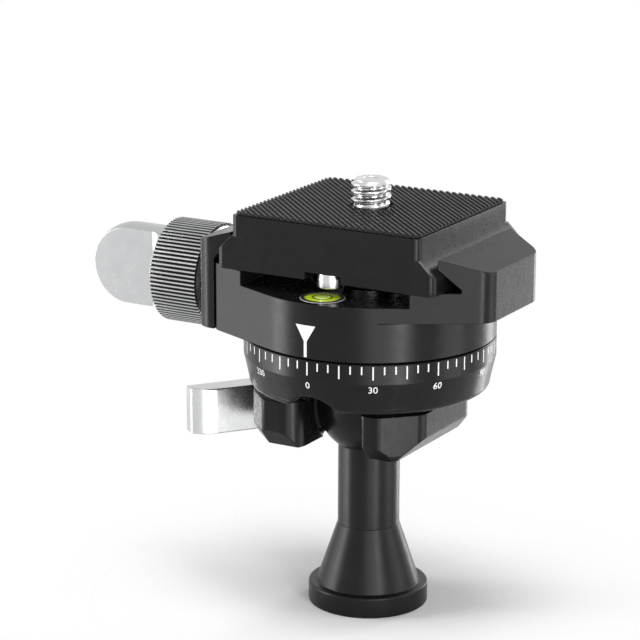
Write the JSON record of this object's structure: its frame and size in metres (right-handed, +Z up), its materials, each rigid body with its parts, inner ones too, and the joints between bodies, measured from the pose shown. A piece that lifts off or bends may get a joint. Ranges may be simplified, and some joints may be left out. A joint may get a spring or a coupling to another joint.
{
  "type": "panoramic ball head",
  "caption": "Inverted ball head with a scaled panning base, cam lever ball lock, screw-knob dovetail clamp, bubble level and a quick-release plate with a captive camera screw.",
  "frame": {"origin": "centre of the foot's underside, at the mouth of the tripod thread", "axes": "+Z up along the stem and the pan axis, -Y towards the index mark and the drop notch, -X towards the clamp knob"},
  "size_m": [0.0763, 0.04, 0.0696],
  "materials": {
    "black_anodised": "black anodised, satin",
    "grey_anodised": "grey anodised, satin",
    "polished_alloy": "polished",
    "steel": "plain turned steel",
    "liner_plastic": "plain moulded plastic",
    "socket_plastic": "black moulded plastic",
    "pad_rubber": "ribbed",
    "level_rim": "white moulded plastic",
    "level_fluid": "clear, yellow-green fluid"
  },
  "bodies": {
    "foot": {"base_foot": "black_anodised", "thread_reducer": "steel"},
    "ball": {"ball_stem": "black_anodised"},
    "liner": {"ball_liner": "socket_plastic"},
    "housing": {"housing": "black_anodised", "socket_cap": "black_anodised", "pan_washer": "liner_plastic", "pan_retainer": "steel", "retainer_washer": "liner_plastic", "pan_screw": "steel", "clamp_stud": "steel", "cam_washer": "steel"},
    "lever": {"lever": "polished_alloy", "lever_pin": "steel"},
    "clamp": {"clamp_body": "black_anodised", "guide_pins": "steel", "level_cup": "level_rim", "level_lens": "level_fluid", "jaw_springs": "steel"},
    "jaw": {"moving_jaw": "black_anodised"},
    "knob": {"clamp_knob": "grey_anodised", "knob_screw": "steel", "knob_washer": "liner_plastic"},
    "plate": {"plate": "black_anodised", "plate_pad": "pad_rubber", "stop_pins": "steel"},
    "camera_screw": {"camera_screw": "steel", "screw_clip": "steel"}
  },
  "joints": [
    {"name": "ball_spin", "type": "hinge", "parent": "foot", "child": "ball", "pos_m": [0, 0, 0.0334], "axis": [0, 0, 1], "continuous": true},
    {"name": "ball_drop", "type": "hinge", "parent": "ball", "child": "liner", "pos_m": [0, 0, 0.0334], "axis": [1, 0, 0], "range_deg": [-10, 90]},
    {"name": "side_tilt", "type": "hinge", "parent": "liner", "child": "housing", "pos_m": [0, 0, 0.0334], "axis": [0, 1, 0], "range_deg": [-15, 15]},
    {"name": "lever_turn", "type": "hinge", "parent": "housing", "child": "lever", "pos_m": [-0.01295, 0.01093, 0.0301], "axis": [0, 0, 1], "range_deg": [-100, 0]},
    {"name": "pan", "type": "hinge", "parent": "housing", "child": "clamp", "pos_m": [0, 0, 0.0452], "axis": [0, 0, 1], "continuous": true},
    {"name": "jaw_slide", "type": "slide", "parent": "clamp", "child": "jaw", "axis": [-1, 0, 0], "range_m": [0, 0.0032], "deforming": ["jaw_springs"]},
    {"name": "knob_turn", "type": "hinge", "parent": "jaw", "child": "knob", "pos_m": [-0.028, 0, 0.0505], "axis": [-1, 0, 0], "range_deg": [0, 1440]},
    {"name": "plate_slide", "type": "slide", "parent": "clamp", "child": "plate", "axis": [0, 1, 0], "range_m": [-0.0062, 0.0062]},
    {"name": "camera_screw_turn", "type": "hinge", "parent": "plate", "child": "camera_screw", "pos_m": [0, 0, 0.062], "axis": [0, 0, 1], "continuous": true}
  ],
  "couplings": [
    {"joint": "knob_turn", "follows": "jaw_slide", "rad_per_m": 7854}
  ]
}
